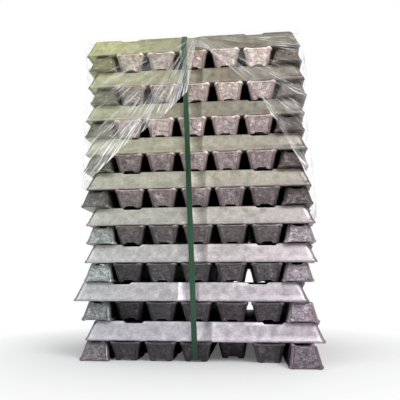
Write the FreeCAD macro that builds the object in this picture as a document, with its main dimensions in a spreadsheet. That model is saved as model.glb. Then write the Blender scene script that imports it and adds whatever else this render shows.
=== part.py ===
"""A strapped bundle of cast aluminium ingots, half wrapped in stretch film.

Eighteen layers of seven ingots lie crosswise on each other. In the odd layers, counted from
the floor, the ingots run front to back and show their ends to the front; in the even layers
they run left to right. The two outer ingots of each layer lie upside down, so that the
bundle keeps its width. One plastic strap goes round the bundle from front to back, and a
clear film covers its top and its upper sides.

Millimetres, +Z up, front towards -Y. The origin is on the floor, at the middle of the
bundle's footprint.
"""
import FreeCAD, Part
import Sketcher
import os
import random

from FreeCAD import Placement, Rotation, Vector

SIZES = (
    # One ingot, measured over its pour face, which is its widest.
    ("ingot_length", 694.0),
    ("ingot_width", 95.0),
    ("ingot_height", 55.4),
    # How much further in the foot stands than the pour face, on each side and end.
    ("side_draft", 12.0),
    ("end_draft", 24.0),
    ("corner_radius", 16.0),
    ("lip_radius", 5.0),
    ("foot_radius", 2.5),
    # The channel along the foot, and the two notches across it that straps go through.
    ("channel_width", 48.0),
    ("channel_depth", 6.0),
    ("channel_slope", 5.0),
    ("notch_place", 200.0),
    ("notch_width", 62.0),
    ("notch_depth", 6.4),
    ("notch_slope", 7.0),
    # The shallow round hollow down the middle of each long side.
    ("waist_width", 62.0),
    ("waist_depth", 6.5),
    # The gaps of a layer: between the five inner ingots, and from these to an outer one.
    ("inner_gap", 6.6),
    ("outer_gap", 4.8),
    # The strap, where its middle crosses the floor and the top, and its clearance.
    ("strap_width", 16.0),
    ("strap_thickness", 0.9),
    ("strap_foot_place", 2.0),
    ("strap_head_place", -37.0),
    ("clearance", 0.3),
    # The film, and how far its left and right sides stand outside the nominal ingot ends.
    ("film_thickness", 0.3),
    ("film_left", 17.0),
    ("film_right", 10.0),
)
LAYERS = 18
INGOTS = 7
CENTRE = INGOTS // 2
OUTER = (0, INGOTS - 1)

# How far each layer was slid to the right when it was laid, from the floor up.
SLIDE = (2, 20, 3, -20, 2, 8, 7, 7, 2, 3, -5, -6, -10, -10, 0, -6, -9, -15)
# How far the left and right outer ingots of the odd layers stand out, from the floor up.
STAND_OUT = ((0, 3), (2, 5), (0, 0), (0, 3), (16, 6), (6, 5), (2, 3), (0, 2), (0, 2))
# Ingots that were pushed back, or forward where negative: (layer, ingot) to the distance.
PUSHED_BACK = {(1, 6): -70.0, (1, 4): 70.0, (3, 1): 30.0}
# How unevenly the ingots were laid, across and along their length.
UNEVEN_ACROSS = 1.0
UNEVEN_ALONG = 3.0
# The film's lower edge on the front, from left to right: a place across as a share of half
# the bundle's width, and a height as a number of layers. It leaves a tall tent shape bare.
FILM_EDGE = ((-0.62, 11.6), (-0.30, 12.9), (-0.05, 14.6), (0.0, 17.2), (0.55, 14.4), (0.85, 11.4))
FILM_LOW_LEFT = 9.4
FILM_LOW_RIGHT = 7.6

doc = FreeCAD.newDocument("IngotBundle")


def fill_sheet():
    """The driving dimensions, one aliased cell each."""
    table = doc.addObject("Spreadsheet::Sheet", "Sizes")
    for row, (alias, value) in enumerate(SIZES, start=1):
        table.set(f"A{row}", alias)
        table.set(f"B{row}", str(value))
        table.setAlias(f"B{row}", alias)
    doc.recompute()
    return table


sheet = fill_sheet()

# Lengths that follow from the driving dimensions, as expressions.
HALF_LENGTH = "Sizes.ingot_length / 2"
HALF_WIDTH = "Sizes.ingot_width / 2"
HALF_FOOT_LENGTH = "(Sizes.ingot_length / 2 - Sizes.end_draft)"
HALF_FOOT_WIDTH = "(Sizes.ingot_width / 2 - Sizes.side_draft)"
INNER_PITCH = "(Sizes.ingot_width + Sizes.inner_gap)"
OUTER_PLACE = (
    f"({CENTRE - 1} * {INNER_PITCH} + Sizes.ingot_width - Sizes.side_draft + Sizes.outer_gap)"
)
TOP = f"({LAYERS} * Sizes.ingot_height)"


def number(expression):
    """The value of an expression as a plain number."""
    value = sheet.evalExpression(expression)
    return float(getattr(value, "Value", value))


def bind(thing, **expressions):
    """Bind properties of an object to expressions."""
    for name, expression in expressions.items():
        thing.setExpression(name.replace("__", "."), expression)


def draw(sketch, *outlines):
    """Closed outlines of straight lines through corners given as pairs of expressions."""
    for corners in outlines:
        points = [Vector(number(across), number(up), 0) for across, up in corners]
        first = sketch.GeometryCount
        count = len(points)
        for index in range(count):
            line = Part.LineSegment(points[index], points[(index + 1) % count])
            sketch.addGeometry(line, False)
        for index in range(count):
            this = first + index
            after = first + (index + 1) % count
            sketch.addConstraint(Sketcher.Constraint("Coincident", this, 2, after, 1))
            for kind, expression in zip(("DistanceX", "DistanceY"), corners[index]):
                place = Sketcher.Constraint(kind, -1, 1, this, 1, number(expression))
                sketch.setExpression(f"Constraints[{sketch.addConstraint(place)}]", expression)


def plane_of(body, role):
    """One of a body's own origin planes."""
    return next(plane for plane in body.Origin.OriginFeatures if plane.Role == role)


def body_sketch(body, name, role, *outlines, lift=None):
    """A sketch on one of a body's origin planes, lifted off it by an expression."""
    sketch = body.newObject("Sketcher::SketchObject", name)
    sketch.AttachmentSupport = [(plane_of(body, role), "")]
    sketch.MapMode = "FlatFace"
    if lift:
        bind(sketch, AttachmentOffset__Base__z=lift)
    draw(sketch, *outlines)
    return sketch


def free_sketch(name, rotation, *outlines):
    """A sketch outside any body, turned by a rotation."""
    sketch = doc.addObject("Sketcher::SketchObject", name)
    sketch.Placement = Placement(Vector(), rotation)
    draw(sketch, *outlines)
    return sketch


def rounded(body, name, base, radius, chosen):
    """Round the edges of a feature that a test on their lowest and highest ends picks out."""
    doc.recompute()
    names = []
    for index, edge in enumerate(base.Shape.Edges, start=1):
        heights = [vertex.Z for vertex in edge.Vertexes]
        if chosen(min(heights), max(heights)):
            names.append(f"Edge{index}")
    fillet = body.newObject("PartDesign::Fillet", name)
    fillet.Base = (base, names)
    bind(fillet, Radius=radius)
    body.Tip = fillet
    return fillet


def cut_through(body, name, sketch):
    """Cut a sketch through the whole body, both ways."""
    pocket = body.newObject("PartDesign::Pocket", name)
    pocket.Profile = sketch
    pocket.Type = "ThroughAll"
    pocket.Midplane = True
    body.Tip = pocket
    return pocket


def foot_cut(place, half_width, slope, depth):
    """The outline of a groove in the foot, wider at its mouth, which is open below."""
    below = "-Sizes.clearance"
    return (
        (f"{place} - {half_width}", below),
        (f"{place} + {half_width}", below),
        (f"{place} + {half_width}", "0"),
        (f"{place} + {half_width} - {slope}", depth),
        (f"{place} - {half_width} + {slope}", depth),
        (f"{place} - {half_width}", "0"),
    )


def cut_waist(body, side):
    """The round hollow down one long side. It leans with the side, so it is as deep all the way."""
    reach = "Sizes.waist_width / 2"
    radius = f"(({reach})^2 + Sizes.waist_depth^2) / (2 * Sizes.waist_depth)"
    lean = "atan(Sizes.side_draft / Sizes.ingot_height)"
    beyond = "Sizes.lip_radius"
    cutter = body.newObject("PartDesign::SubtractiveCylinder", "Waist" + ("Right" if side > 0 else "Left"))
    cutter.Placement = Placement(Vector(), Rotation(Vector(-side, 0, 0), 1))
    bind(
        cutter,
        Radius=radius,
        Height=f"(Sizes.ingot_height + 2 * {beyond}) / cos({lean})",
        Placement__Base__y=(
            f"{side} * ({HALF_FOOT_WIDTH} + ({radius} - Sizes.waist_depth) / cos({lean})"
            f" - {beyond} * tan({lean}))"
        ),
        Placement__Base__z=f"-{beyond}",
        Placement__Rotation__Angle=lean,
    )
    body.Tip = cutter


def make_ingot():
    """One ingot along X on its foot, with its pour face up."""
    body = doc.addObject("PartDesign::Body", "Ingot")
    height = "Sizes.ingot_height"
    profile = (
        (f"-{HALF_FOOT_LENGTH}", "0"),
        (HALF_FOOT_LENGTH, "0"),
        (HALF_LENGTH, height),
        (f"-{HALF_LENGTH}", height),
    )
    block = body.newObject("PartDesign::Pad", "Block")
    block.Profile = body_sketch(body, "LongProfile", "XZ_Plane", profile)
    block.Midplane = True
    bind(block, Length="Sizes.ingot_width")
    body.Tip = block
    beyond = "Sizes.lip_radius"
    drafts = [
        (
            (f"{side} * {HALF_FOOT_WIDTH}", "0"),
            (f"{side} * {HALF_WIDTH}", height),
            (f"{side} * ({HALF_WIDTH} + {beyond})", height),
            (f"{side} * ({HALF_WIDTH} + {beyond})", f"-{beyond}"),
            (f"{side} * {HALF_FOOT_WIDTH}", f"-{beyond}"),
        )
        for side in (-1, 1)
    ]
    drafted = cut_through(body, "SideDraft", body_sketch(body, "SideDrafts", "YZ_Plane", *drafts))

    middle = number(height) / 2
    corners = rounded(
        body, "Corners", drafted, "Sizes.corner_radius", lambda low, high: low < middle < high
    )
    lip = rounded(body, "Lip", corners, "Sizes.lip_radius", lambda low, high: low > middle)
    rounded(body, "FootEdge", lip, "Sizes.foot_radius", lambda low, high: high < middle)

    channel = foot_cut("0", "Sizes.channel_width / 2", "Sizes.channel_slope", "Sizes.channel_depth")
    cut_through(body, "Channel", body_sketch(body, "ChannelOutline", "YZ_Plane", channel))
    notches = [
        foot_cut(place, "Sizes.notch_width / 2", "Sizes.notch_slope", "Sizes.notch_depth")
        for place in ("-Sizes.notch_place", "Sizes.notch_place")
    ]
    cut_through(body, "Notches", body_sketch(body, "NotchOutlines", "XZ_Plane", *notches))
    for side in (-1, 1):
        cut_waist(body, side)
    doc.recompute()
    return body


def lay_ingot(ingot, layer, place, uneven):
    """One ingot of a layer, as a link to the ingot."""
    across = f"{place - CENTRE} * {INNER_PITCH}"
    stand_out = 0
    if place in OUTER:
        side = 1 if place else -1
        if layer % 2:
            stand_out = STAND_OUT[layer // 2][OUTER.index(place)]
        across = f"{side} * ({OUTER_PLACE} + {stand_out})"
    off_across = uneven.uniform(-UNEVEN_ACROSS, UNEVEN_ACROSS)
    off_along = uneven.uniform(-UNEVEN_ALONG, UNEVEN_ALONG) * (place != CENTRE)
    slide = SLIDE[layer - 1]
    pushed = PUSHED_BACK.get((layer, place), off_along)

    if layer % 2:
        turned = Rotation(Vector(0, 0, 1), 90)
        spot = (f"{slide + off_across:.2f} + {across}", f"{pushed:.2f}")
    else:
        turned = Rotation()
        spot = (f"{slide:.2f}", f"{off_across:.2f} + {across}")
    lift = f"{layer - 1} * Sizes.ingot_height"
    if place in OUTER:
        turned = turned.multiply(Rotation(Vector(1, 0, 0), 180))
        lift = f"{layer} * Sizes.ingot_height"

    link = doc.addObject("App::Link", f"Ingot_{layer:02d}_{place + 1}")
    link.LinkedObject = ingot
    link.Placement = Placement(Vector(), turned)
    bind(link, Placement__Base__x=spot[0], Placement__Base__y=spot[1], Placement__Base__z=lift)
    return link


def make_layer(ingot, layer, uneven):
    """Seven ingots side by side."""
    node = doc.addObject("Part::Compound", f"layer_{layer:02d}")
    node.Links = [lay_ingot(ingot, layer, place, uneven) for place in range(INGOTS)]
    return node


def extruded(name, sketch, forward, backward="0"):
    """A solid from a sketch along -Y, or along X for a sketch across the bundle."""
    solid = doc.addObject("Part::Extrusion", name)
    solid.Base = sketch
    solid.DirMode = "Normal"
    solid.Solid = True
    solid.FaceMakerClass = "Part::FaceMakerBullseye"
    bind(solid, LengthFwd=forward, LengthRev=backward)
    return solid


FACING_FRONT = Rotation(Vector(1, 0, 0), 90)
FACING_RIGHT = Rotation(Vector(1, 1, 1), 120)


def make_strap():
    """A closed band, pulled tight over the outermost edges of the bundle, in a leaning plane."""
    face = f"{HALF_LENGTH} + Sizes.clearance"
    shoulder = f"{OUTER_PLACE} + {HALF_FOOT_WIDTH} + Sizes.clearance"
    heel = (
        f"{HALF_LENGTH} - Sizes.end_draft * (1 - Sizes.channel_depth / Sizes.ingot_height)"
        " + 2 * Sizes.clearance"
    )
    loops = []
    for out in ("0", "Sizes.strap_thickness"):
        half = (
            (f"({heel} + {out})", f"Sizes.channel_depth - Sizes.clearance - {out}"),
            (f"({face} + {out})", "Sizes.ingot_height"),
            (f"({face} + {out})", f"{LAYERS - 1} * Sizes.ingot_height"),
            (f"({shoulder} + {out})", f"{TOP} + Sizes.clearance + {out}"),
        )
        loops.append((*half, *((f"-{across}", up) for across, up in reversed(half))))
    band = free_sketch("StrapLine", FACING_RIGHT, *loops)
    loop = extruded("StrapLoop", band, "Sizes.ingot_width * 2", "Sizes.ingot_width * 2")

    lean = f"(Sizes.strap_head_place - Sizes.strap_foot_place) / {TOP}"
    beyond = "Sizes.ingot_height"
    low = f"Sizes.strap_foot_place - {beyond} * {lean}"
    high = f"Sizes.strap_head_place + {beyond} * {lean}"
    outline = (
        (f"{low} - Sizes.strap_width / 2", f"-{beyond}"),
        (f"{low} + Sizes.strap_width / 2", f"-{beyond}"),
        (f"{high} + Sizes.strap_width / 2", f"{TOP} + {beyond}"),
        (f"{high} - Sizes.strap_width / 2", f"{TOP} + {beyond}"),
    )
    slab = extruded(
        "StrapSlab",
        free_sketch("StrapLean", FACING_FRONT, outline),
        "Sizes.ingot_length",
        "Sizes.ingot_length",
    )
    strap = doc.addObject("Part::Common", "strap")
    strap.Base = loop
    strap.Tool = slab
    return strap


def film_box(name, grow):
    """A box round the bundle's upper part, as far out as the film, and further by grow."""
    face = f"({HALF_LENGTH} + 2 * Sizes.clearance + Sizes.strap_thickness + {grow})"
    box = doc.addObject("Part::Box", name)
    bind(
        box,
        Length=f"Sizes.ingot_length + Sizes.film_left + Sizes.film_right + 2 * {grow}",
        Width=f"2 * {face}",
        Height=f"{TOP} + 2 * Sizes.clearance + Sizes.strap_thickness + {grow}",
        Placement__Base__x=f"-{HALF_LENGTH} - Sizes.film_left - {grow}",
        Placement__Base__y=f"-{face}",
    )
    return box


def cut(name, base, tool):
    """One shape less another."""
    result = doc.addObject("Part::Cut", name)
    result.Base = base
    result.Tool = tool
    return result


def make_film():
    """A thin hood over the top and the upper sides, open in a tent shape on the front."""
    hood = cut("FilmHood", film_box("FilmOutside", "Sizes.film_thickness"), film_box("FilmInside", "0"))
    far = "Sizes.ingot_length"
    low_left = f"{FILM_LOW_LEFT} * Sizes.ingot_height"
    low_right = f"{FILM_LOW_RIGHT} * Sizes.ingot_height"
    floor = "-Sizes.clearance"
    below = ((f"-{far}", floor), (far, floor), (far, low_right), (f"-{far}", low_left))
    under = extruded("FilmUnder", free_sketch("FilmUnderEdge", FACING_FRONT, below), far, far)
    edge = [
        (f"{across} * {HALF_LENGTH}", f"{layers} * Sizes.ingot_height")
        for across, layers in FILM_EDGE
    ]
    side = f"({HALF_LENGTH} + Sizes.film_right)"
    tent = ((f"-{side}", floor), (side, floor), (side, low_right), *reversed(edge), (f"-{side}", low_left))
    window = extruded("FilmWindow", free_sketch("FilmEdge", FACING_FRONT, tent), far, "0")
    return cut("film", cut("FilmUpper", hood, under), window)


def check(thing):
    """Stop if an object failed, or a piece has no sound shape."""
    failed = {"Invalid", "Error"} & set(thing.State)
    if failed:
        raise RuntimeError(f"{thing.Name} is {failed}")


def main():
    ingot = make_ingot()
    uneven = random.Random(3)
    nodes = [make_layer(ingot, layer, uneven) for layer in range(1, LAYERS + 1)]
    nodes += [make_strap(), make_film()]
    doc.recompute()

    for thing in doc.Objects:
        check(thing)
    os.makedirs("parts", exist_ok=True)
    for node in nodes:
        if node.Shape.isNull() or not node.Shape.isValid():
            raise RuntimeError(f"{node.Label} has no sound shape")
        node.Shape.exportStep(f"parts/{node.Label}.step")
        print(node.Label, len(node.Shape.Solids), "solids", round(node.Shape.Volume / 1000), "cm3")


main()
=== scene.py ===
"""Looks of the strapped bundle of aluminium ingots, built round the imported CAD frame.

Every ingot of the frame is rebuilt where it lies, with a cast surface: a shrunk pour face
with a raised lip, pitted ends, a channel and two notches in the foot, and a hollow in each
long side. The strap and the film follow. Metres, +Z up, front towards -Y.
"""
import math
import random

import bmesh
import bpy
from mathutils import Matrix, Vector, noise


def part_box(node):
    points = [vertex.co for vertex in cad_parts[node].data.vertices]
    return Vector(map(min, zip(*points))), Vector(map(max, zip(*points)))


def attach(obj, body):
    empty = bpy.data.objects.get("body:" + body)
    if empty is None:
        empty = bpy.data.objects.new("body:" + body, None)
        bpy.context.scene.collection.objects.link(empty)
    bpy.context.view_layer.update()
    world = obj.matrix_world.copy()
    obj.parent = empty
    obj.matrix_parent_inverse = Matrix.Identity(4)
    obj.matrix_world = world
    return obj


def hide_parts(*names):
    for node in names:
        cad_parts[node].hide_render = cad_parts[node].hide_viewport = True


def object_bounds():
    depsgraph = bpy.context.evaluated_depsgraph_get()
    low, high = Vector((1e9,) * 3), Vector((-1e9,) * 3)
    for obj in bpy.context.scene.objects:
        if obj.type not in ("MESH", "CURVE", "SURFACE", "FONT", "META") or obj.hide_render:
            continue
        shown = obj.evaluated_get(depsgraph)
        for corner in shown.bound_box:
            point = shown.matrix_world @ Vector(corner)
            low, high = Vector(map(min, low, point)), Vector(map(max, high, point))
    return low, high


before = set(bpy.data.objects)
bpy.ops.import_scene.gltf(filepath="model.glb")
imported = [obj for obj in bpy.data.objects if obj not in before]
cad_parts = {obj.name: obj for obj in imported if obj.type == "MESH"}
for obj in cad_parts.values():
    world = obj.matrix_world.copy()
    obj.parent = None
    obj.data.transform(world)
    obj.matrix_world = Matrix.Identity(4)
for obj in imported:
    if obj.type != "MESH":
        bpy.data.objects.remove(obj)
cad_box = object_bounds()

MM = 0.001
LAYERS = 18
INGOTS = 7

# One ingot's cast details, as in the CAD model.
SIDE_DRAFT = 12.0 * MM
END_DRAFT = 24.0 * MM
CORNER_RADIUS = 16.0 * MM
CHANNEL_HALF = 24.0 * MM
CHANNEL_DEPTH = 6.0 * MM
CHANNEL_SLOPE = 5.0 * MM
NOTCH_PLACE = 200.0 * MM
NOTCH_HALF = 31.0 * MM
NOTCH_DEPTH = 6.4 * MM
NOTCH_SLOPE = 7.0 * MM
WAIST_HALF = 31.0 * MM
WAIST_DEPTH = 6.5 * MM
# The lip left round the pour face, and how far the metal inside it shrank.
LIP = 5.0 * MM
LIP_BEAD = 0.9 * MM
POUR_DIP = 2.2 * MM
FOOT_ROUND = 2.5 * MM

STRAP_WIDTH = 16.0 * MM
STRAP_THICKNESS = 0.9 * MM
# Where the strap's middle crosses the floor and the top.
STRAP_FOOT = 2.0 * MM
STRAP_HEAD = -37.0 * MM
STRAP_BEND = 5 * MM
SHARP_EDGE = math.radians(38)

MIDDLE_STATIONS = 11
END_INSETS = (30, 20, 14, 9.5, 6, 3.6, 1.8, 0.6, 0)
CAP_SHARES = (0.955, 0.88, 0.75, 0.55, 0.3)


def linear(red, green, blue):
    """A colour as it looks on a screen, 0 to 255, turned into linear light."""
    return tuple((part / 255) ** 2.2 for part in (red, green, blue))


def mixed(low, high, share):
    """A value or colour between two others."""
    share = min(1.0, max(0.0, share))
    return tuple(a + (b - a) * share for a, b in zip(low, high))


def between(table, value):
    """A value read off a table of pairs, in straight lines."""
    for (low, first), (high, second) in zip(table, table[1:]):
        if value <= high:
            share = max(0.0, (value - low) / (high - low))
            return first + (second - first) * share
    return table[-1][1]


# ---------------------------------------------------------------- ingots in the frame


def loose_parts(node):
    """The corners of each solid of a CAD node."""
    mesh = node.data
    parent = list(range(len(mesh.vertices)))

    def root(index):
        while parent[index] != index:
            parent[index] = parent[parent[index]]
            index = parent[index]
        return index

    # Corners that the importer split apart are one place again.
    places = {}
    for vertex in mesh.vertices:
        key = tuple(round(part * 1e5) for part in vertex.co)
        parent[root(vertex.index)] = root(places.setdefault(key, vertex.index))
    for edge in mesh.edges:
        parent[root(edge.vertices[0])] = root(edge.vertices[1])
    groups = {}
    for vertex in mesh.vertices:
        groups.setdefault(root(vertex.index), []).append(vertex.co.copy())
    return list(groups.values())


class Ingot:
    """Where one ingot of the frame lies: its middle, its size, and which way it runs and faces."""

    def __init__(self, corners):
        low = Vector([min(corner[axis] for corner in corners) for axis in range(3)])
        high = Vector([max(corner[axis] for corner in corners) for axis in range(3)])
        size = high - low
        self.middle = (low + high) / 2
        self.runs_across = size.x > size.y
        self.half_length = max(size.x, size.y) / 2
        self.half_width = min(size.x, size.y) / 2
        self.height = size.z
        along = 0 if self.runs_across else 1
        upper = [abs(c[along] - self.middle[along]) for c in corners if c.z > self.middle.z]
        lower = [abs(c[along] - self.middle[along]) for c in corners if c.z < self.middle.z]
        self.foot_down = max(upper) > max(lower)

    def matrix(self):
        """From the ingot's own frame, foot at z = 0 and length along X, to its place."""
        turn = Matrix.Rotation(0 if self.runs_across else math.pi / 2, 4, "Z")
        flip = Matrix.Identity(4) if self.foot_down else Matrix.Rotation(math.pi, 4, "X")
        lowered = Matrix.Translation((0, 0, -self.height / 2))
        return Matrix.Translation(self.middle) @ turn @ flip @ lowered


def find_ingots():
    """The ingots of each layer, from the frame."""
    found = {}
    for number in range(1, LAYERS + 1):
        name = f"layer_{number:02d}"
        parts = [Ingot(corners) for corners in loose_parts(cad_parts[name])]
        parts.sort(key=lambda ingot: ingot.middle.y if ingot.runs_across else ingot.middle.x)
        found[name] = parts
    return found


# ---------------------------------------------------------------- the ingot's shape


def half_profile(half_width, height):
    """Half of a cut across the ingot, from the pour face's middle round to the foot's."""
    lip = LIP
    points = [
        (0.0, height - POUR_DIP),
        (0.45 * half_width, height - POUR_DIP),
        (0.72 * half_width, height - 0.75 * POUR_DIP),
        (half_width - 1.7 * lip, height - 0.25 * POUR_DIP),
        (half_width - 1.1 * lip, height),
        (half_width - 0.6 * lip, height - 0.08 * lip),
        (half_width - 0.2 * lip, height - 0.4 * lip),
        (half_width, height - 0.9 * lip),
        (half_width - 0.12 * lip, height - 1.5 * lip),
        (half_width - LIP_BEAD - side_inset(height - 2.1 * lip, height), height - 2.1 * lip),
    ]
    for share in (0.62, 0.42, 0.22):
        z = share * height
        points.append((half_width - LIP_BEAD - side_inset(z, height), z))
    foot = half_width - LIP_BEAD - side_inset(0, height)
    rim = CHANNEL_HALF
    points += [
        (foot + 0.3 * MM, FOOT_ROUND),
        (foot - 0.7 * MM, 0.3 * FOOT_ROUND),
        (foot - FOOT_ROUND, 0.0),
        (rim + 0.8 * MM, 0.0),
        (rim - 0.4 * MM, 0.18 * CHANNEL_DEPTH),
        (rim - CHANNEL_SLOPE, 0.9 * CHANNEL_DEPTH),
        (rim - CHANNEL_SLOPE - 2.0 * MM, CHANNEL_DEPTH),
        (0.0, CHANNEL_DEPTH),
    ]
    return points


def side_inset(z, height):
    """How far in from the pour face's edge a long side stands at a height."""
    return SIDE_DRAFT * (1 - z / height)


def end_inset(z, height):
    """The same for an end."""
    return END_DRAFT * (1 - z / height)


def round_off(distance, radius):
    """How far a rounded edge falls back, at a distance in from it."""
    inside = max(0.0, radius - distance)
    return radius - math.sqrt(radius * radius - inside * inside)


def stations(half_length):
    """Places along the ingot: (place, inset from the end or None) from left to right."""
    flat = half_length - END_DRAFT - 38 * MM
    places = {flat * (2 * step / (MIDDLE_STATIONS - 1) - 1) for step in range(MIDDLE_STATIONS)}
    for side in (-1, 1):
        for edge in (-NOTCH_HALF, -NOTCH_HALF + NOTCH_SLOPE, NOTCH_HALF - NOTCH_SLOPE, NOTCH_HALF):
            places.add(side * NOTCH_PLACE + edge)
    for share in (-1.03, -1, -0.8, -0.5, 0, 0.5, 0.8, 1, 1.03):
        places.add(share * WAIST_HALF)
    ordered = sorted(places)
    middle = [ordered[0]]
    for place in ordered[1:]:
        if place - middle[-1] > 0.5 * MM:
            middle.append(place)
    left = [(-1, inset * MM) for inset in reversed(END_INSETS)]
    right = [(1, inset * MM) for inset in END_INSETS]
    return left + [(place, None) for place in middle] + right


def notch(x):
    """How deep the foot is cut at a place along the ingot."""
    away = NOTCH_HALF - abs(abs(x) - NOTCH_PLACE)
    return NOTCH_DEPTH * min(1.0, max(0.0, away / NOTCH_SLOPE))


def waist(x):
    """How deep the hollow in a long side is at a place along the ingot."""
    radius = (WAIST_HALF**2 + WAIST_DEPTH**2) / (2 * WAIST_DEPTH)
    if abs(x) >= WAIST_HALF:
        return 0.0
    return math.sqrt(radius**2 - x * x) - (radius - WAIST_DEPTH)


def shape_point(ingot, station, point):
    """One corner of the ingot's surface, from a station along it and a point of its profile."""
    y, z = point
    place, inset = station
    side = math.copysign(1.0, y)
    height, half_width = ingot.height, ingot.half_width
    edge = abs(y) / half_width
    if inset is None:
        x = place
        low = notch(x)
        if z < low:
            if abs(y) > CHANNEL_HALF + 4 * MM:
                y += side * SIDE_DRAFT * (low - z) / height * (abs(y) > half_width - SIDE_DRAFT - 2 * MM)
            z = low
        hollow = waist(x)
        if hollow and edge > 0.6:
            y -= side * hollow * (1 if z < height - LIP or edge > 0.8 else 0.6)
    else:
        back = round_off(inset, CORNER_RADIUS)
        shrink = 1 - back / half_width
        y *= shrink
        if z > height - LIP:
            z -= round_off(inset, 0.9 * LIP)
        elif z < FOOT_ROUND:
            z += 0.6 * round_off(inset, FOOT_ROUND)
        outward = ingot.half_length - end_inset(z, height)
        bead = LIP_BEAD if z < height - 1.6 * LIP else 0.0
        x = place * (outward - inset - bead)
    return Vector((x, y, z))


def cast(point, seed, amount):
    """Push a point a little inwards, as uneven casting does."""
    where = point * 22 + seed
    wave = noise.noise(where) * 0.6 + noise.noise(where * 3.1) * 0.4
    return amount * (0.5 + 0.5 * wave)


def build_ingot(ingot, seed, rough, corners, faces, extras):
    """Add one ingot's surface to a layer's lists of corners and faces."""
    half = half_profile(ingot.half_width, ingot.height)
    ring = half + [(-y, z) for y, z in reversed(half[1:-1])]
    count = len(ring)
    first = len(corners)
    place = ingot.matrix()
    centre = Vector((0, 0, ingot.height / 2))

    def add(local, kind):
        offset = cast(local, seed, 0.9 * MM if kind else 0.7 * MM)
        inward = centre.copy()
        inward.x = local.x * 0.9
        direction = (inward - local).normalized()
        spot = local + direction * offset
        if kind:
            pits = noise.noise(local * 95 + seed) + 0.6 * noise.noise(local * 210 + seed)
            spot.x -= math.copysign(1, local.x) * rough * max(0.0, 0.9 * MM + 1.1 * MM * pits)
        corners.append(place @ spot)
        extras.append((local + seed, kind))

    along = stations(ingot.half_length)
    for station in along:
        for point in ring:
            local = shape_point(ingot, station, point)
            kind = 1.0 if station[1] is not None and station[1] < 1 * MM else 0.0
            add(local, kind)
    rings = len(along)
    for row in range(rings - 1):
        for column in range(count):
            after = (column + 1) % count
            a = first + row * count + column
            b = first + row * count + after
            faces.append((a, b, b + count, a + count))

    for side, row in ((-1, 0), (1, rings - 1)):
        outer = [first + row * count + column for column in range(count)]
        rim = [shape_point(ingot, along[row], point) for point in ring]
        middle_z = 0.52 * ingot.height
        for share in CAP_SHARES:
            inner = []
            for spot in rim:
                z = middle_z + (spot.z - middle_z) * share
                y = spot.y * share
                dished = 0.5 * MM * (1 - share)
                x = side * (ingot.half_length - LIP_BEAD - end_inset(z, ingot.height) - dished)
                inner.append(len(corners))
                add(Vector((x, y, z)), 1.0)
            for column in range(count):
                after = (column + 1) % count
                faces.append((outer[column], outer[after], inner[after], inner[column]))
            outer = inner
        hub = len(corners)
        x = side * (ingot.half_length - LIP_BEAD - end_inset(middle_z, ingot.height))
        add(Vector((x, 0, middle_z)), 1.0)
        for column in range(count):
            faces.append((outer[column], outer[(column + 1) % count], hub))


# ---------------------------------------------------------------- the metal's colours, in painted light and shade

# Each grid holds a place's colours from the left, over the middle, to the right, and its
# levels say how high up the bundle each row of them belongs. The colours are the metal's
# grey with painted light and shade: their tints and their lighter and darker stretches
# stand in for how the light falls across the bundle.
LONG_SIDE_PAINTED_LIGHT = (
    (0.0, linear(206, 204, 212), linear(226, 218, 228), linear(184, 170, 182)),
    (0.3, linear(208, 208, 206), linear(214, 206, 208), linear(190, 178, 184)),
    (0.52, linear(196, 196, 178), linear(190, 184, 168), linear(150, 142, 138)),
    (1.0, linear(212, 212, 160), linear(146, 138, 120), linear(124, 116, 110)),
)
# The outer ingots' ends, which lean up, in painted light and shade.
OUTER_END_PAINTED_LIGHT = (
    (0.0, linear(128, 118, 124), linear(150, 140, 146), linear(138, 122, 132)),
    (0.12, linear(156, 160, 162), linear(160, 150, 156), linear(158, 142, 152)),
    (0.3, linear(176, 184, 180), linear(170, 164, 168), linear(190, 178, 186)),
    (0.48, linear(122, 118, 114), linear(130, 120, 120), linear(136, 124, 124)),
    (1.0, linear(164, 164, 124), linear(140, 132, 120), linear(132, 120, 112)),
)
# The inner ingots' ends, which lean down: dark with painted shade in the lower half, and pale with painted
# light above.
INNER_END_PAINTED_LIGHT = (
    (0.0, linear(92, 88, 93), linear(96, 91, 96), linear(100, 94, 99)),
    (0.3, linear(106, 103, 103), linear(112, 106, 107), linear(112, 106, 107)),
    (0.46, linear(128, 120, 118), linear(146, 134, 135), linear(136, 126, 128)),
    (0.64, linear(172, 156, 150), linear(214, 194, 194), linear(206, 186, 190)),
    (1.0, linear(206, 192, 174), linear(236, 214, 202), linear(232, 210, 204)),
)
# Painted shade between the ingots: the colour that places deep in the bundle darken to.
GAP_SHADE = linear(34, 32, 34)
HALF_STACK = 0.345


def tone_with_painted_light(spot, grid, out, depth_kept):
    """The metal's colour at a place of the bundle in painted light and shade, darkened with painted shade
    where it is further in than depth_kept.

    How far out a place lies is given by out, in metres from the bundle's middle.
    """
    across = (spot.x + 0.25 * spot.y) / HALF_STACK
    up = spot.z / cad_box[1][2]
    rows = [
        (level, mixed(left, middle, across + 1) if across < 0 else mixed(middle, right, across))
        for level, left, middle, right in grid
    ]
    colour = rows[-1][1]
    for (low, first), (high, second) in zip(rows, rows[1:]):
        if low <= up < high:
            colour = mixed(first, second, (up - low) / (high - low))
    # Painted shade: below the top layer, places further in than depth_kept darken towards the painted gap
    # shade.
    buried = HALF_STACK - out
    if up < (LAYERS - 0.5) / LAYERS:
        colour = mixed(colour, GAP_SHADE, (buried - depth_kept) / 0.05)
    return colour


# Light and shade across that hollow: a place, as a share of half its width, and a factor.
HOLLOW_SHADES = (
    (-1.1, 1.0), (-0.9, 1.12), (0.1, 1.16), (0.35, 0.8), (0.9, 0.55), (1.0, 1.2), (1.1, 1.0),
)


def hollow_shade(x):
    """How light the hollow in a long side looks at a place along the ingot."""
    share = x / WAIST_HALF
    if abs(share) > 1.1:
        return 1.0
    return between(HOLLOW_SHADES, share)


# ---------------------------------------------------------------- node helpers


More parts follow.
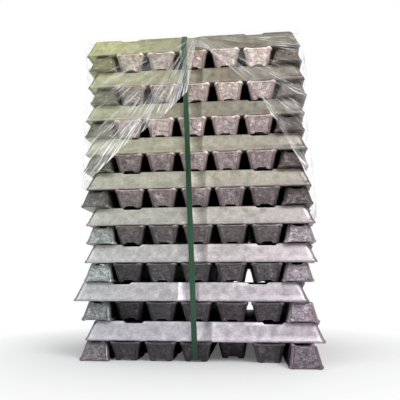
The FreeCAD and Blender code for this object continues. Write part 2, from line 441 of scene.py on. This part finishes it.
class Shader:
    """A material's nodes, made one after the other."""

    def __init__(self, name):
        self.material = bpy.data.materials.new(name)
        self.material.use_nodes = True
        self.tree = self.material.node_tree
        self.tree.nodes.clear()
        self.output = self.add("ShaderNodeOutputMaterial")

    def add(self, kind, **settings):
        node = self.tree.nodes.new(kind)
        for name, value in settings.items():
            if name in node.inputs:
                node.inputs[name].default_value = value
            else:
                setattr(node, name, value)
        return node

    def link(self, source, target):
        self.tree.links.new(source, target)

    def attribute(self, name):
        return self.add("ShaderNodeAttribute", attribute_type="GEOMETRY", attribute_name=name)

    def scaled(self, vector, scale):
        node = self.add("ShaderNodeVectorMath", operation="MULTIPLY")
        node.inputs[1].default_value = scale
        self.link(vector, node.inputs[0])
        return node.outputs[0]

    def noise(self, vector, scale, detail=3.0, roughness=0.6):
        node = self.add("ShaderNodeTexNoise", Scale=scale, Detail=detail, Roughness=roughness)
        self.link(vector, node.inputs["Vector"])
        return node.outputs["Fac"]

    def ramp(self, value, low, high, dark=0.0, light=1.0):
        node = self.add("ShaderNodeMapRange", clamp=True)
        names = ("From Min", "From Max", "To Min", "To Max")
        for name, number in zip(names, (low, high, dark, light)):
            node.inputs[name].default_value = number
        self.link(value, node.inputs["Value"])
        return node.outputs["Result"]

    def math(self, operation, first, second):
        node = self.add("ShaderNodeMath", operation=operation)
        for socket, value in zip(node.inputs, (first, second)):
            if isinstance(value, (int, float)):
                socket.default_value = value
            else:
                self.link(value, socket)
        return node.outputs[0]

    def darkened(self, colour, factor):
        node = self.add("ShaderNodeMix", data_type="RGBA", blend_type="MULTIPLY")
        node.inputs["Factor"].default_value = 1.0
        self.link(colour, node.inputs["A"])
        self.link(factor, node.inputs["B"])
        return node.outputs["Result"]

    def mixed(self, factor, first, second):
        node = self.add("ShaderNodeMix", data_type="RGBA")
        self.link(factor, node.inputs["Factor"])
        for name, value in (("A", first), ("B", second)):
            if isinstance(value, tuple):
                node.inputs[name].default_value = (*value, 1)
            else:
                self.link(value, node.inputs[name])
        return node.outputs["Result"]

    def bump(self, height, strength, distance, below=None):
        node = self.add("ShaderNodeBump", Strength=strength, Distance=distance)
        self.link(height, node.inputs["Height"])
        if below:
            self.link(below, node.inputs["Normal"])
        return node.outputs["Normal"]


def cast_metal():
    """Aluminium as cast: pitted and wrinkled on the ends, grained along the sides, with painted glints on the
    ends.
    """
    shader = Shader("cast_aluminium")
    local = shader.attribute("local").outputs["Vector"]
    end = shader.attribute("end").outputs["Fac"]
    # The colour with its painted light and shade.
    colour = shader.attribute("tone_with_painted_light").outputs["Color"]

    grain = shader.noise(shader.scaled(local, (0.3, 1, 1)), 330, 5, 0.75)
    mottle = shader.noise(local, 55, 3, 0.55)
    fine = shader.noise(local, 620, 2, 0.7)
    pits = shader.add("ShaderNodeTexVoronoi", Scale=230.0)
    shader.link(local, pits.inputs["Vector"])
    pit = shader.ramp(pits.outputs["Distance"], 0.10, 0.34)
    wrinkle = shader.noise(shader.scaled(local, (1, 0.8, 1.5)), 85, 6, 0.74)
    fold = shader.noise(shader.scaled(local, (1, 1, 1.7)), 42, 4, 0.7)
    from_fold = shader.math("ABSOLUTE", shader.math("SUBTRACT", fold, 0.5), 0)
    creased = shader.ramp(from_fold, 0.0, 0.035, 0.5, 1.0)

    side_shade = shader.ramp(grain, 0.3, 0.7, 0.78, 1.12)
    end_shade = shader.math("MULTIPLY", shader.ramp(wrinkle, 0.34, 0.66, 0.6, 1.4), creased)
    shade = shader.add("ShaderNodeMix", data_type="FLOAT")
    shader.link(end, shade.inputs["Factor"])
    shader.link(side_shade, shade.inputs["A"])
    shader.link(end_shade, shade.inputs["B"])
    mottle_and_glint = shader.ramp(mottle, 0.32, 0.66, 0.84, 1.12)
    # Painted glints: brighter patches on the ends' colour.
    glint = shader.ramp(shader.noise(shader.scaled(local, (1, 1, 0.7)), 60, 4, 0.8), 0.54, 0.7)
    shine = shader.math("ADD", shader.math("MULTIPLY", shader.math("MULTIPLY", glint, end), 1.3), 1.0)
    mottle_and_glint = shader.math("MULTIPLY", mottle_and_glint, shine)
    speck = shader.ramp(fine, 0.34, 0.48, 0.62, 1.0)
    # Grain, mottle and specks together with the ends' wrinkle and crease shade and the painted glints.
    wear_and_painted_light = shader.math("MULTIPLY", shader.math("MULTIPLY", shade.outputs["Result"], mottle_and_glint), speck)
    base = shader.darkened(colour, wear_and_painted_light)

    surface = shader.add("ShaderNodeBsdfPrincipled", Metallic=0.7)
    shader.link(base, surface.inputs["Base Color"])
    shader.link(shader.ramp(mottle, 0.3, 0.7, 0.28, 0.52), surface.inputs["Roughness"])
    relief = shader.math("ADD", wrinkle, shader.math("MULTIPLY", creased, 0.35))
    deep = shader.bump(shader.math("MULTIPLY", relief, shader.ramp(end, 0, 1, 0.06, 1)), 0.9, 5 * MM)
    pitted = shader.bump(pit, 0.25, 0.6 * MM, deep)
    grained = shader.bump(grain, 0.35, 0.5 * MM, pitted)
    shader.link(grained, surface.inputs["Normal"])
    shader.link(surface.outputs[0], shader.output.inputs["Surface"])
    return shader.material


# ---------------------------------------------------------------- pieces


def new_piece(name, corners, faces, material, *nodes, slot):
    """A mesh that stands for CAD nodes and rides on the bundle."""
    mesh = bpy.data.meshes.new(name)
    mesh.from_pydata([tuple(corner) for corner in corners], [], faces)
    mesh.validate()
    piece = bpy.data.objects.new(name, mesh)
    bpy.context.scene.collection.objects.link(piece)
    mesh.materials.append(material)
    mesh.polygons.foreach_set("use_smooth", [True] * len(mesh.polygons))
    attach(piece, "root")
    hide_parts(*nodes)
    return piece


def outward(mesh):
    """Turn all faces to point out of the solid."""
    work = bmesh.new()
    work.from_mesh(mesh)
    bmesh.ops.recalc_face_normals(work, faces=work.faces)
    work.to_mesh(mesh)
    work.free()


def build_layer(name, ingots, material, chance):
    """The seven ingots of a layer as one piece, each a solid of its own."""
    corners, faces, extras, tones_with_painted_light = [], [], [], []
    for ingot in ingots:
        seed = Vector([chance.uniform(-40, 40) for _ in range(3)])
        rough = chance.choice((0.25, 0.5, 1.0, 1.3))
        side_shift, end_shift = chance.uniform(0.92, 1.06), chance.uniform(0.66, 1.2)
        start = len(corners)
        build_ingot(ingot, seed, rough, corners, faces, extras)
        for spot, (surface_spot, is_end) in zip(corners[start:], extras[start:]):
            local = surface_spot - seed
            furthest = max(abs(spot.x), abs(spot.y))
            end_gap = ingot.half_length - end_inset(local.z, ingot.height) - abs(local.x)
            if is_end or end_gap < 11 * MM:
                grid = INNER_END_PAINTED_LIGHT if ingot.foot_down else OUTER_END_PAINTED_LIGHT
                colour, variation_and_painted_light = tone_with_painted_light(spot, grid, furthest, 0.10), end_shift
                # Painted highlight: the lip along the pour face of the inner ends is made almost twice as
                # bright; the rest of the factor is each ingot's own random variation.
                if ingot.foot_down and local.z > ingot.height - 1.1 * LIP:
                    variation_and_painted_light *= 1.9
            else:
                # Painted shade: below a thin band at the top, the long sides of ingots with their foot down
                # take the inner ends' painted light and shade.
                dark = ingot.foot_down and spot.z < ingot.middle.z + 0.45 * ingot.height
                # Painted shade between the ingots: on the steep long sides the depth is measured sideways and
                # the colour starts to darken 45 mm in, elsewhere 12 mm in.
                flank = abs(local.y) > ingot.half_width - SIDE_DRAFT - 3 * MM and local.z < ingot.height - LIP
                sideways = abs(spot.y if ingot.runs_across else spot.x)
                out, kept = (sideways, 0.045) if flank else (furthest, 0.012)
                colour = tone_with_painted_light(spot, INNER_END_PAINTED_LIGHT if dark else LONG_SIDE_PAINTED_LIGHT, out, kept)
                variation_and_painted_light = side_shift * hollow_shade(local.x)
            tones_with_painted_light.append([part * variation_and_painted_light for part in colour])
    piece = new_piece(f"cast_{name}", corners, faces, material, name, slot="ingot")
    mesh = piece.data
    local = mesh.attributes.new("local", "FLOAT_VECTOR", "POINT")
    local.data.foreach_set("vector", [part for spot, _ in extras for part in spot])
    end = mesh.attributes.new("end", "FLOAT", "POINT")
    end.data.foreach_set("value", [kind for _, kind in extras])
    # The colour with painted light and shade, at each corner.
    colour = mesh.color_attributes.new("tone_with_painted_light", "FLOAT_COLOR", "POINT")
    colour.data.foreach_set("color", [part for spot in tones_with_painted_light for part in (*spot, 1.0)])
    outward(mesh)
    mesh.set_sharp_from_angle(angle=SHARP_EDGE)
    return piece


layers = find_ingots()
metal = cast_metal()
chance = random.Random(11)
for layer_name, layer_ingots in layers.items():
    build_layer(layer_name, layer_ingots, metal, chance)


# ---------------------------------------------------------------- strap


def strap_material():
    """Green plastic strapping, embossed, with paler stretches of painted sheen."""
    shader = Shader("green_strap")
    place = shader.add("ShaderNodeTexCoord").outputs["Object"]
    waffle = shader.add("ShaderNodeTexVoronoi", Scale=520.0)
    shader.link(place, waffle.inputs["Vector"])
    # Painted sheen: paler stretches along the strap.
    painted_sheen = shader.noise(shader.scaled(place, (1, 1, 0.25)), 9, 3, 0.6)
    colour = shader.mixed(shader.ramp(painted_sheen, 0.42, 0.68), linear(16, 54, 31), linear(48, 84, 64))
    surface = shader.add("ShaderNodeBsdfPrincipled", Roughness=0.32)
    shader.link(colour, surface.inputs["Base Color"])
    shader.link(shader.bump(waffle.outputs["Distance"], 0.35, 0.3 * MM), surface.inputs["Normal"])
    shader.link(surface.outputs[0], shader.output.inputs["Surface"])
    return shader.material


def softened(path, radius, steps=5):
    """A closed path with its corners rounded."""
    rounded = []
    for index, corner in enumerate(path):
        before, after = path[index - 1], path[(index + 1) % len(path)]
        into, out = (corner - before), (after - corner)
        reach = min(radius, 0.45 * into.length, 0.45 * out.length)
        start, stop = corner - into.normalized() * reach, corner + out.normalized() * reach
        for step in range(steps + 1):
            share = step / steps
            rounded.append(start.lerp(corner, share).lerp(corner.lerp(stop, share), share))
    return rounded


def build_strap(low, high):
    """A closed band in the leaning plane of its CAD node."""
    layer_height = layers["layer_01"][0].height
    top = LAYERS * layer_height
    face = -low[1] - STRAP_THICKNESS
    half_foot = layers["layer_01"][0].half_width - SIDE_DRAFT
    shoulder = max(ingot.middle.y for ingot in layers["layer_18"]) + half_foot + 2 * MM
    heel = face - END_DRAFT * (1 - CHANNEL_DEPTH / layer_height) + 0.6 * MM
    bottom = low[2] + STRAP_THICKNESS
    path = [
        Vector((-heel, bottom)), Vector((-face, layer_height)),
        Vector((-face, (LAYERS - 1) * layer_height)), Vector((-shoulder, top + 0.3 * MM)),
        Vector((shoulder, top + 0.3 * MM)), Vector((face, (LAYERS - 1) * layer_height)),
        Vector((face, layer_height)), Vector((heel, bottom)),
    ]
    line = softened(path, STRAP_BEND)
    corners, faces = [], []
    count = len(line)
    for index, spot in enumerate(line):
        along = (line[(index + 1) % count] - line[index - 1]).normalized()
        out = Vector((-along.y, along.x))
        if out.dot(spot - Vector((0, top / 2))) < 0:
            out = -out
        middle = STRAP_FOOT + (STRAP_HEAD - STRAP_FOOT) * spot.y / top
        for across, lift in ((-1, 0), (-1, 0.7), (-0.9, 1), (0.9, 1), (1, 0.7), (1, 0)):
            thick = lift * STRAP_THICKNESS
            place = spot + out * thick
            corners.append((middle + across * STRAP_WIDTH / 2, place.x, place.y))
    for row in range(count):
        for column in range(6):
            a = row * 6 + column
            b = row * 6 + (column + 1) % 6
            c = ((row + 1) % count) * 6 + (column + 1) % 6
            d = ((row + 1) % count) * 6 + column
            faces.append((a, b, c, d))
    piece = new_piece("green_strap", corners, faces, strap_material(), "strap", slot="strap")
    outward(piece.data)
    piece.data.set_sharp_from_angle(angle=SHARP_EDGE)


build_strap(*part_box("strap"))


# ---------------------------------------------------------------- film

# The film's lower edge: a place across, as a share of half the bundle, and a number of layers.
FRONT_EDGE = (
    (-1.1, 9.0), (-0.85, 9.9), (-0.62, 11.4), (-0.30, 12.9), (-0.07, 14.4), (0.0, 17.1),
    (0.10, 17.0), (0.55, 14.4), (0.82, 11.4), (0.95, 9.2), (1.1, 7.4),
)
FILM_OFF = 1.4 * MM
FILM_STEP = 4.5 * MM
FILM_ROWS = 84
FILM_CORNER = 18 * MM
TOP_SHARES = (0.985, 0.95, 0.88, 0.78, 0.66, 0.52, 0.38, 0.24, 0.1)


def ring_of(half_x, half_y):
    """Points round a rectangle with round corners, a step apart, with their outward directions."""
    sides = (
        (Vector((-1, 0)), Vector((0, -1)), half_x, half_y),
        (Vector((0, 1)), Vector((-1, 0)), half_y, half_x),
        (Vector((1, 0)), Vector((0, 1)), half_x, half_y),
        (Vector((0, -1)), Vector((1, 0)), half_y, half_x),
    )
    points = []
    for along, out, reach, depth in sides:
        flat = reach - FILM_CORNER
        count = round(2 * flat / FILM_STEP)
        for step in range(count):
            points.append((along * (flat * (2 * step / count - 1)) + out * depth, out))
        heart = along * flat + out * (depth - FILM_CORNER)
        for step in range(6):
            turn = math.pi / 2 * step / 6
            lean = out * math.cos(turn) + along * math.sin(turn)
            points.append((heart + lean * FILM_CORNER, lean))
    return points


def film_flow(spot, out, radius_point):
    """Where a point lies across and along the film's pull, so that creases follow it."""
    if out.y < -0.5:
        away = Vector((spot.x - radius_point.x, radius_point.z - spot.z + 0.03))
        return Vector((math.atan2(away.x, max(away.y, 0.001)) * 0.42, away.length * 0.05, 0.0))
    across = spot.x if abs(out.y) > 0.5 else spot.y
    return Vector((0.8 * spot.z + 0.5 * across, 0.1 * across + 3.0 * abs(out.x), 0.3 * out.y + 0.5))


def film_material():
    """Clear stretch film: nearly unseen, with white creases that are partly the film's milky folds and partly
    painted glints, and a thicker gathered edge.
    """
    shader = Shader("stretch_film")
    flow = shader.attribute("flow").outputs["Vector"]
    gather = shader.attribute("gather").outputs["Fac"]
    broad = shader.noise(flow, 20, 2, 0.5)
    thin = shader.noise(flow, 240, 3, 0.6)
    crease = shader.ramp(shader.math("ADD", thin, shader.math("MULTIPLY", gather, 0.05)), 0.55, 0.66)
    patch = shader.ramp(shader.math("ADD", broad, shader.math("MULTIPLY", gather, 0.15)), 0.40, 0.58)
    # The white creases: partly the film's own milky folds, partly painted glints.
    fold_and_glint = shader.math("MULTIPLY", crease, patch)
    veil = shader.ramp(broad, 0.42, 0.70, 0.02, 0.20)
    haze = shader.math("MULTIPLY", veil, shader.ramp(gather, 0, 1, 0.45, 1.9))
    total = shader.math("ADD", shader.math("MULTIPLY", fold_and_glint, 0.75), haze)
    surface = shader.add("ShaderNodeBsdfPrincipled", Roughness=0.16, IOR=1.5)
    surface.inputs["Base Color"].default_value = (0.95, 0.95, 0.92, 1)
    shader.link(shader.ramp(total, 0, 1), surface.inputs["Alpha"])
    shader.link(shader.bump(shader.noise(flow, 75, 3, 0.6), 0.7, 2 * MM), surface.inputs["Normal"])
    shader.link(surface.outputs[0], shader.output.inputs["Surface"])
    return shader.material


def build_film():
    """A thin hood pulled over the bundle, creased towards the top of its open front."""
    step_up = layers["layer_01"][0].height
    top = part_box("film")[1][2] - 0.1 * MM
    shoulder = (LAYERS - 1) * step_up
    boxes = [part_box(name) for name in layers]
    left = [(index * step_up + step_up / 2, -low[0]) for index, (low, _) in enumerate(boxes)]
    right = [(index * step_up + step_up / 2, high[0]) for index, (_, high) in enumerate(boxes)]
    half_y = -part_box("strap")[0][1] + FILM_OFF
    half_x = HALF_STACK
    pull = Vector((0.0, 0, 17.4 * step_up))
    ring = ring_of(half_x, half_y)
    count = len(ring)
    corners, flows, gathers = [], [], []

    def reach(x, z):
        table = left if x < 0 else right
        near = [between(table, z + nudge * step_up) for nudge in (-0.6, 0, 0.6)]
        return (max(near) + FILM_OFF) / half_x

    def add(spot, out, flow_at, gather):
        flow = film_flow(flow_at, out, pull)
        ridge = 1 - abs(noise.noise(Vector((flow.x * 34, flow.y * 12, 1.7))))
        swell = noise.noise(flow_at * 9)
        lift = 1.6 * MM * ridge**6 + 1.0 * MM * swell
        corners.append((spot.x + out.x * lift, spot.y + out.y * lift, min(spot.z, top)))
        flows.append(flow)
        gathers.append(gather)

    for share in reversed(TOP_SHARES):
        for point, out in ring:
            x, y = point.x * share * reach(point.x, top), point.y * share * 0.95
            sag = 1.4 * MM * (0.5 + 0.5 * noise.noise(Vector((x * 22, y * 7, 0.4))))
            add(Vector((x, y, top - sag)), Vector((0, 0)), Vector((x, y, top)), 0.0)
    for row in range(FILM_ROWS + 1):
        share = row / FILM_ROWS
        for point, out in ring:
            if out.y < -0.5:
                low = between(FRONT_EDGE, point.x / half_x) * step_up
            else:
                low = (8.2 - 0.9 * point.x / half_x) * step_up
            low += 5 * MM * noise.noise(Vector((point.x * 30, point.y * 30, 5)))
            z = top - share * (top - low)
            inset = 18 * MM * max(0.0, (z - shoulder) / (top - shoulder))
            y = point.y - math.copysign(inset, point.y) * min(1.0, abs(point.y) / half_y)
            spot = Vector((point.x * reach(point.x, z), y, z))
            zone = (150 if out.y < -0.5 and point.x < 0 else 50) * MM
            gather = max(0.0, 1 - (z - low) / zone)
            add(spot, out, spot, gather)

    faces = []
    rows = len(corners) // count
    for row in range(rows - 1):
        for column in range(count):
            after = (column + 1) % count
            a = row * count
            faces.append((a + column, a + after, a + count + after, a + count + column))
    hub = len(corners)
    add(Vector((0, 0, top - 1 * MM)), Vector((0, 0)), Vector((0, 0, top)), 0.0)
    faces += [((column + 1) % count, column, hub) for column in range(count)]
    piece = new_piece("stretch_film", corners, faces, film_material(), "film", slot="film")
    mesh = piece.data
    flow = mesh.attributes.new("flow", "FLOAT_VECTOR", "POINT")
    flow.data.foreach_set("vector", [part for spot in flows for part in spot])
    gathered = mesh.attributes.new("gather", "FLOAT", "POINT")
    gathered.data.foreach_set("value", gathers)
    outward(mesh)


build_film()


# ---------------------------------------------------------------- light, floor and camera


def white_seen(name, seen, colour):
    """A material that looks plain white to the camera and keeps its own colour for light."""
    shader = Shader(name)
    path = shader.add("ShaderNodeLightPath")
    plain = shader.add("ShaderNodeBsdfDiffuse", Color=(*colour, 1))
    glow = shader.add("ShaderNodeEmission", Color=(1, 1, 1, 1), Strength=seen)
    mix = shader.add("ShaderNodeMixShader")
    direct = shader.math("MAXIMUM", path.outputs["Is Camera Ray"], path.outputs["Is Transmission Ray"])
    away = shader.add("ShaderNodeVectorMath", operation="LENGTH")
    shader.link(shader.add("ShaderNodeNewGeometry").outputs["Position"], away.inputs[0])
    clear = shader.ramp(away.outputs["Value"], 0.42, 0.95, 0.1, 1.0)
    shader.link(shader.math("MULTIPLY", direct, clear), mix.inputs["Fac"])
    shader.link(plain.outputs[0], mix.inputs[1])
    shader.link(glow.outputs[0], mix.inputs[2])
    shader.link(mix.outputs[0], shader.output.inputs["Surface"])
    return shader.material


def build_stage():
    """A wide pale floor."""
    mesh = bpy.data.meshes.new("floor")
    reach = 30.0
    square = [(-reach, -reach, 0), (reach, -reach, 0), (reach, reach, 0), (-reach, reach, 0)]
    mesh.from_pydata(square, [], [(0, 1, 2, 3)])
    floor = bpy.data.objects.new("floor", mesh)
    bpy.context.scene.collection.objects.link(floor)
    mesh.materials.append(white_seen("pale_floor", 1.0, (0.8, 0.8, 0.8)))


def build_world():
    """Even light from all round, white where it is seen."""
    world = bpy.data.worlds.new("studio")
    bpy.context.scene.world = world
    world.use_nodes = True
    tree = world.node_tree
    tree.nodes.clear()
    path = tree.nodes.new("ShaderNodeLightPath")
    seen = tree.nodes.new("ShaderNodeBackground")
    seen.inputs["Color"].default_value = (1, 1, 1, 1)
    seen.inputs["Strength"].default_value = 1.0
    light = tree.nodes.new("ShaderNodeBackground")
    light.inputs["Color"].default_value = (0.96, 0.98, 1.0, 1)
    light.inputs["Strength"].default_value = 0.55
    direct = tree.nodes.new("ShaderNodeMath")
    direct.operation = "MAXIMUM"
    mix = tree.nodes.new("ShaderNodeMixShader")
    output = tree.nodes.new("ShaderNodeOutputWorld")
    tree.links.new(path.outputs["Is Camera Ray"], direct.inputs[0])
    tree.links.new(path.outputs["Is Transmission Ray"], direct.inputs[1])
    tree.links.new(direct.outputs[0], mix.inputs["Fac"])
    tree.links.new(light.outputs[0], mix.inputs[1])
    tree.links.new(seen.outputs[0], mix.inputs[2])
    tree.links.new(mix.outputs[0], output.inputs["Surface"])


def build_lamp(name, place, aim, size, watts):
    """A soft square lamp."""
    data = bpy.data.lights.new(name, "AREA")
    data.size = size
    data.energy = watts
    lamp = bpy.data.objects.new(name, data)
    lamp.location = place
    lamp.rotation_euler = (Vector(aim) - Vector(place)).to_track_quat("-Z", "Y").to_euler()
    bpy.context.scene.collection.objects.link(lamp)


def build_camera():
    """The camera, low in front and a little to the right, looking up."""
    data = bpy.data.cameras.new("camera")
    data.lens = 41.18
    camera = bpy.data.objects.new("camera", data)
    camera.location = (0.154, -1.663, 0.216)
    camera.rotation_euler = (math.radians(90 + 10.41), 0, math.radians(6.01))
    bpy.context.scene.collection.objects.link(camera)
    bpy.context.scene.camera = camera


build_stage()
build_world()
build_lamp("key", (1.7, -2.2, 2.2), (0, 0, 0.5), 1.4, 60)
build_lamp("fill", (-2.2, -1.6, 1.8), (0, 0, 0.5), 1.8, 22)
build_lamp("back", (0.5, 2.6, 2.2), (0, 0, 0.5), 1.8, 30)
build_camera()
bpy.context.scene.view_settings.view_transform = "Standard"
